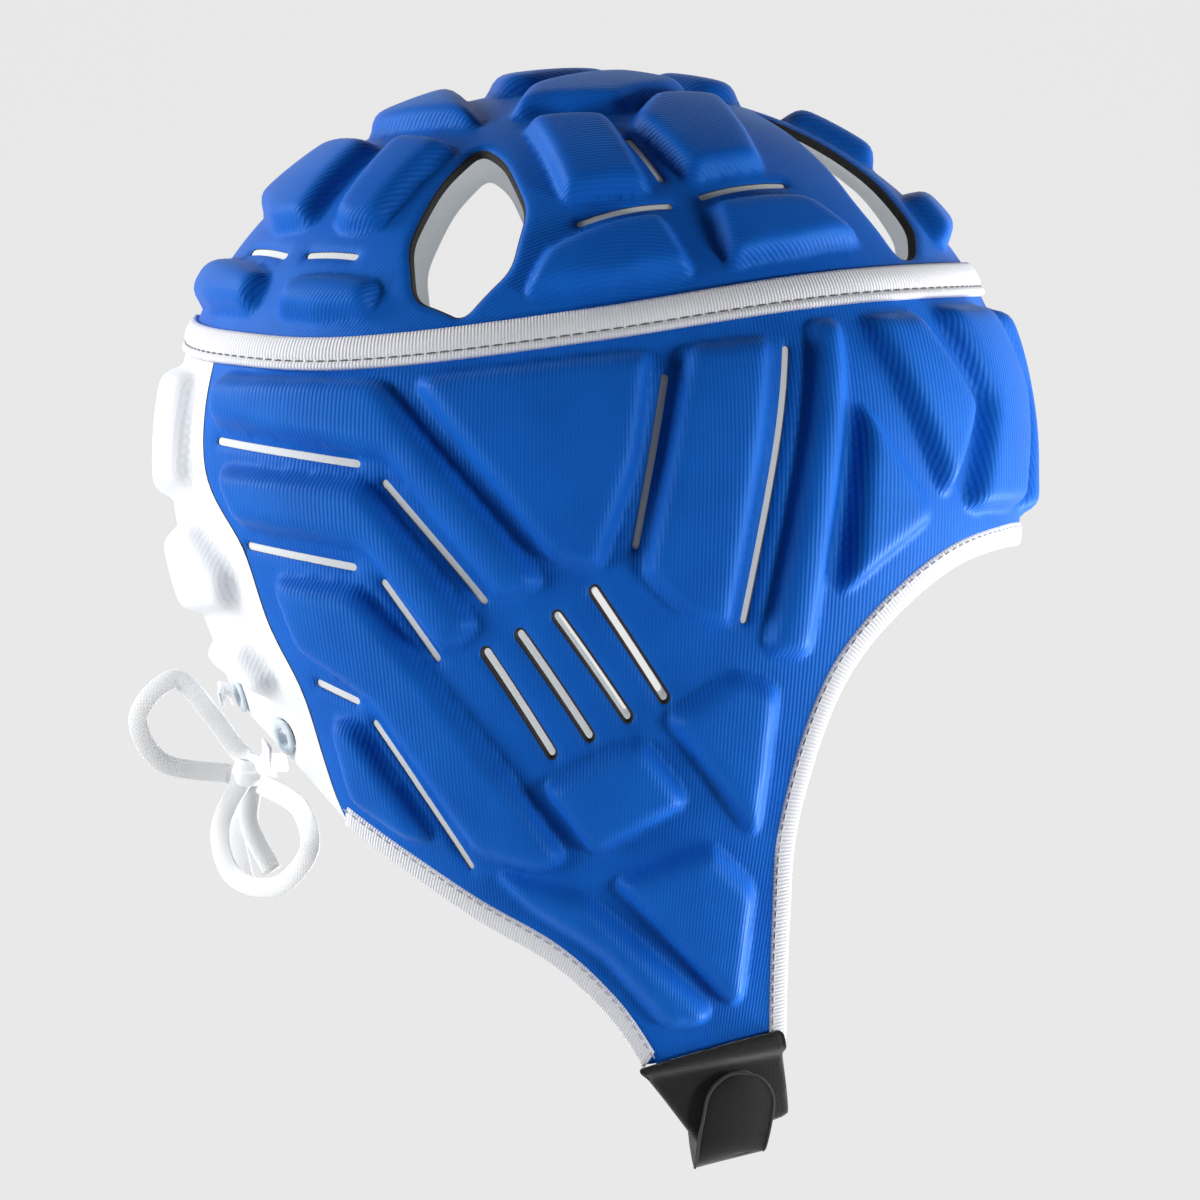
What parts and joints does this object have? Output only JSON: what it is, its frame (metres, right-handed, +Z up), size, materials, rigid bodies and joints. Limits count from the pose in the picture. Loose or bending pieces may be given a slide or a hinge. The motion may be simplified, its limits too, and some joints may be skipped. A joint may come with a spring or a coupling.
{
  "type": "rugby scrum cap",
  "caption": "Padded cloth scrum cap with cut-out vents, ear slots, a nape lace and a hook-and-loop chin strap, in its worn form.",
  "frame": {"origin": "top of the hollow, where the crown of the cap sits on the head", "axes": "+Z up, -Y the way the face looks, -X the wearer's right"},
  "size_m": [0.1696, 0.2174, 0.2617],
  "materials": {
    "blue_knit": "royal blue ribbed polyester knit over foam, soft satin",
    "white_knit": "white polyester knit over foam, matt",
    "white_tape": "white cross-ribbed binding tape with grey stitches",
    "black_hook_and_loop": "black napped hook-and-loop",
    "grey_plastic": "light blue-grey, half gloss",
    "white_lace": "white flat braided lace, matt"
  },
  "bodies": {
    "root": {"crown": "blue_knit", "band": "blue_knit", "nape_panel": "white_knit", "crown_binding": "white_tape", "face_binding": "white_tape", "lower_binding_right": "white_tape", "lower_binding_left": "white_tape", "chin_patch_right": "black_hook_and_loop", "chin_patch_left": "black_hook_and_loop", "chin_strap": "black_hook_and_loop", "upper_eyelet_right": "grey_plastic", "upper_eyelet_left": "grey_plastic", "lower_eyelet_right": "grey_plastic", "lower_eyelet_left": "grey_plastic", "lace_across": "white_lace", "lace_inside_right": "white_lace", "lace_inside_left": "white_lace", "lace_right_run": "white_lace", "lace_left_run": "white_lace", "lace_knot": "white_lace", "lace_upper_loop": "white_lace", "lace_lower_loop": "white_lace", "lace_right_end": "white_lace", "lace_left_end": "white_lace"}
  },
  "joints": []
}
